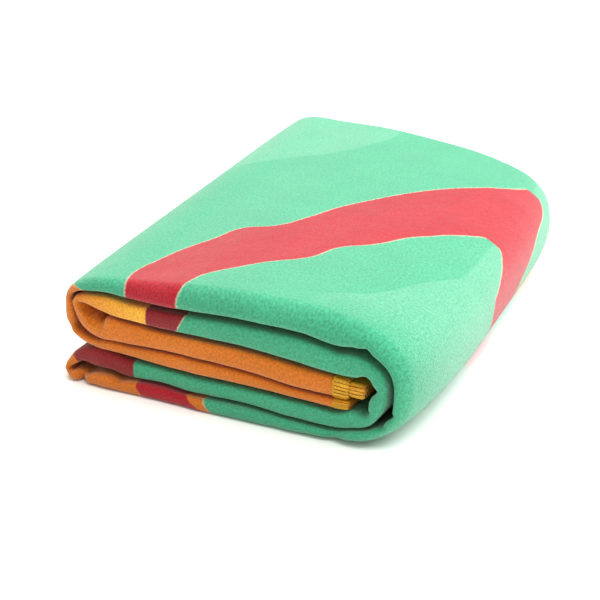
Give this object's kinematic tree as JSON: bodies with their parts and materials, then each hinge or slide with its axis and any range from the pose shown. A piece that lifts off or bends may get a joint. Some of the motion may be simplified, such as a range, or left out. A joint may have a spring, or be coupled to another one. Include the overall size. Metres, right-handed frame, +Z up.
{
  "type": "quick dry towel",
  "caption": "Printed suede-feel microfibre towel, folded for packing: a strip of many layers doubled and folded in three, with overlocked edges; it opens at its wrapped end.",
  "frame": {"origin": "centre of the face that the folded towel rests on", "axes": "+Z up; +Y from the folded front edges to the hemmed back edges; +X towards the wrapped end, where it opens"},
  "size_m": [0.14, 0.2, 0.048],
  "materials": {
    "printed_microfibre": "Short-napped, suede-feel knitted microfibre, printed mint green, red, maroon and orange.",
    "hem_stitching": "Dense yellow polyester overlock stitching over the cloth's cut edge."
  },
  "bodies": {
    "bottom": {"bottom_outer_panel": "printed_microfibre", "bottom_outer_back_hem": "hem_stitching", "bottom_inner_panel": "printed_microfibre", "bottom_inner_back_hem": "hem_stitching", "half_fold_bend": "printed_microfibre", "right_outer_bend": "printed_microfibre", "right_inner_bend": "printed_microfibre"},
    "roll": {"middle_lower_panel": "printed_microfibre", "middle_lower_back_hem": "hem_stitching", "middle_lower_end_hem": "hem_stitching", "middle_upper_panel": "printed_microfibre", "middle_upper_back_hem": "hem_stitching", "middle_upper_end_hem": "hem_stitching", "top_inner_panel": "printed_microfibre", "top_inner_back_hem": "hem_stitching", "top_outer_panel": "printed_microfibre", "top_outer_back_hem": "hem_stitching", "left_outer_bend": "printed_microfibre", "left_inner_bend": "printed_microfibre"}
  },
  "joints": [
    {"name": "right_fold", "type": "hinge", "parent": "bottom", "child": "roll", "pos_m": [0.061, 0, 0.024], "axis": [0, 1, 0], "range_deg": [0, 180], "deforming": ["right_outer_bend", "right_inner_bend"]}
  ]
}
